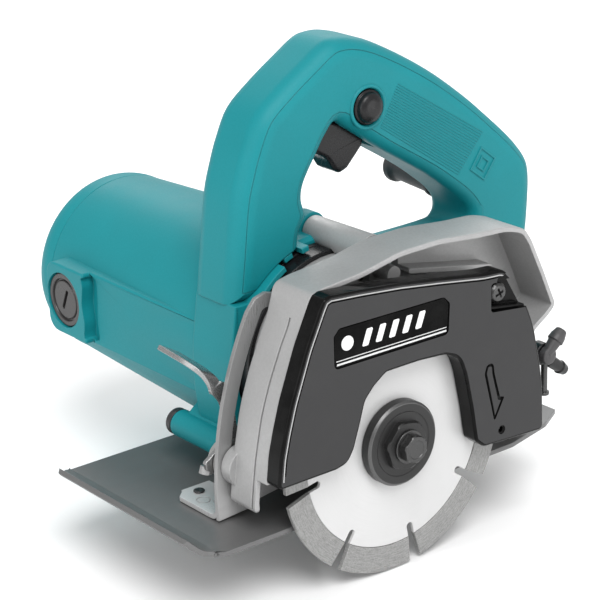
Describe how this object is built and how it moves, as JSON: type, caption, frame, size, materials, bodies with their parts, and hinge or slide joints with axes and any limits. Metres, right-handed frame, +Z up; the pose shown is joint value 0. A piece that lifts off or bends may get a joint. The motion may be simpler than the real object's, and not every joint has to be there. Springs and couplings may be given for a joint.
{
  "type": "hand-held disc saw",
  "caption": "Hand-held electric stone and tile saw with a segmented blade, blade cover, D-handle and tilting base.",
  "frame": {"origin": "on the underside of the base plate, straight under the spindle's axis and 54 mm to the motor side of the blade's middle plane", "axes": "+X is the cutting direction, +Y points from the motor to the blade's outer side, +Z is up, away from the work"},
  "size_m": [0.215, 0.2122, 0.204],
  "materials": {
    "motor_housing": "moulded teal plastic, fine texture",
    "handle_cover": "moulded teal plastic, fine texture",
    "rear_end_cap": "moulded teal plastic, fine texture",
    "brush_cap_front": "moulded black plastic",
    "brush_cap_rear": "moulded black plastic",
    "trigger": "moulded black plastic",
    "lock_button": "moulded black plastic",
    "baffle_plate": "moulded black plastic",
    "hose_barb": "moulded black plastic",
    "water_valve_body": "moulded black plastic",
    "water_cock_lever": "moulded black plastic",
    "switch_body": "moulded black plastic",
    "fan": "moulded black plastic",
    "cord_guard": "matte rubber",
    "blade_cover": "black semi-gloss coat",
    "label_plate": "glossy black plate",
    "blade_case": "die-cast, satin",
    "gear_housing": "die-cast, satin",
    "base_plate": "dark brushed steel",
    "depth_guide_bracket": "bright pressed sheet steel",
    "clamp_lever": "zinc-plated or ground steel",
    "clamp_bolt": "zinc-plated or ground steel",
    "clamp_nut": "zinc-plated or ground steel",
    "bracket_rivet": "zinc-plated or ground steel",
    "pivot_pin": "zinc-plated or ground steel",
    "cover_screw": "zinc-plated or ground steel",
    "housing_screw_front": "zinc-plated or ground steel",
    "housing_screw_rear": "zinc-plated or ground steel",
    "housing_screw_top": "zinc-plated or ground steel",
    "washer": "zinc-plated or ground steel",
    "hex_bolt": "zinc-plated or ground steel",
    "valve_screw": "zinc-plated or ground steel",
    "inner_flange": "zinc-plated or ground steel",
    "spindle": "zinc-plated or ground steel",
    "driven_gear": "zinc-plated or ground steel",
    "pinion": "zinc-plated or ground steel",
    "armature_shaft": "zinc-plated or ground steel",
    "outer_flange": "blackened steel",
    "blade_core": "ground steel disc",
    "blade_segment_1": "sintered metal and diamond grit",
    "blade_segment_2": "sintered metal and diamond grit",
    "blade_segment_3": "sintered metal and diamond grit",
    "blade_segment_4": "sintered metal and diamond grit",
    "blade_segment_5": "sintered metal and diamond grit",
    "blade_segment_6": "sintered metal and diamond grit",
    "blade_segment_7": "sintered metal and diamond grit",
    "blade_segment_8": "sintered metal and diamond grit",
    "armature_core": "laminated steel",
    "stator_core": "laminated steel",
    "commutator": "copper",
    "field_coil_upper": "copper",
    "field_coil_lower": "copper",
    "brush_holder_front": "pressed brass",
    "brush_holder_rear": "pressed brass",
    "carbon_brush_front": "carbon",
    "carbon_brush_rear": "carbon",
    "spindle_bearing_front": "bearing steel",
    "spindle_bearing_rear": "bearing steel",
    "armature_bearing_front": "bearing steel",
    "armature_bearing_rear": "bearing steel"
  },
  "bodies": {
    "tool": {"motor_housing": "motor_housing", "handle_cover": "handle_cover", "rear_end_cap": "rear_end_cap", "brush_cap_front": "brush_cap_front", "brush_cap_rear": "brush_cap_rear", "baffle_plate": "baffle_plate", "hose_barb": "hose_barb", "water_valve_body": "water_valve_body", "switch_body": "switch_body", "cord_guard": "cord_guard", "blade_cover": "blade_cover", "label_plate": "label_plate", "blade_case": "blade_case", "gear_housing": "gear_housing", "clamp_bolt": "clamp_bolt", "clamp_nut": "clamp_nut", "pivot_pin": "pivot_pin", "cover_screw": "cover_screw", "housing_screw_front": "housing_screw_front", "housing_screw_rear": "housing_screw_rear", "housing_screw_top": "housing_screw_top", "valve_screw": "valve_screw", "stator_core": "stator_core", "field_coil_upper": "field_coil_upper", "field_coil_lower": "field_coil_lower", "brush_holder_front": "brush_holder_front", "brush_holder_rear": "brush_holder_rear", "carbon_brush_front": "carbon_brush_front", "carbon_brush_rear": "carbon_brush_rear", "spindle_bearing_front": "spindle_bearing_front", "spindle_bearing_rear": "spindle_bearing_rear", "armature_bearing_front": "armature_bearing_front", "armature_bearing_rear": "armature_bearing_rear"},
    "blade": {"blade_core": "blade_core", "blade_segment_1": "blade_segment_1", "blade_segment_2": "blade_segment_2", "blade_segment_3": "blade_segment_3", "blade_segment_4": "blade_segment_4", "blade_segment_5": "blade_segment_5", "blade_segment_6": "blade_segment_6", "blade_segment_7": "blade_segment_7", "blade_segment_8": "blade_segment_8", "outer_flange": "outer_flange", "inner_flange": "inner_flange", "washer": "washer", "hex_bolt": "hex_bolt", "spindle": "spindle", "driven_gear": "driven_gear"},
    "armature": {"armature_shaft": "armature_shaft", "armature_core": "armature_core", "commutator": "commutator", "fan": "fan", "pinion": "pinion"},
    "base": {"base_plate": "base_plate", "depth_guide_bracket": "depth_guide_bracket", "bracket_rivet": "bracket_rivet"},
    "lever": {"clamp_lever": "clamp_lever"},
    "trigger_body": {"trigger": "trigger"},
    "button": {"lock_button": "lock_button"},
    "water_cock": {"water_cock_lever": "water_cock_lever"}
  },
  "joints": [
    {"name": "blade_spin", "type": "hinge", "parent": "tool", "child": "blade", "pos_m": [0, 0.054, 0.0245], "axis": [0, 1, 0], "continuous": true},
    {"name": "armature_spin", "type": "hinge", "parent": "tool", "child": "armature", "pos_m": [-0.003, 0.054, 0.0495], "axis": [0, 1, 0], "continuous": true},
    {"name": "base_tilt", "type": "hinge", "parent": "tool", "child": "base", "pos_m": [-0.082, 0.054, 0.0125], "axis": [0, 1, 0], "range_deg": [0, 24]},
    {"name": "clamp_swing", "type": "hinge", "parent": "tool", "child": "lever", "pos_m": [0.0585, 0.054, 0.0245], "axis": [0, 1, 0], "range_deg": [0, 60]},
    {"name": "trigger_pull", "type": "hinge", "parent": "tool", "child": "trigger_body", "pos_m": [-0.007, 0.054, 0.137], "axis": [0, 1, 0], "range_deg": [0, 8], "stiffness_Nm_per_rad": 0.6, "springref_deg": -5.73},
    {"name": "lock_press", "type": "slide", "parent": "tool", "child": "button", "axis": [0, -1, 0], "range_m": [0, 0.003], "stiffness_N_per_m": 200, "springref_m": -0.001},
    {"name": "cock_turn", "type": "hinge", "parent": "tool", "child": "water_cock", "pos_m": [-0.09, 0.054, 0.0335], "axis": [0, 1, 0], "range_deg": [0, 90]}
  ],
  "couplings": [
    {"joint": "armature_spin", "follows": "blade_spin", "ratio": -2}
  ]
}
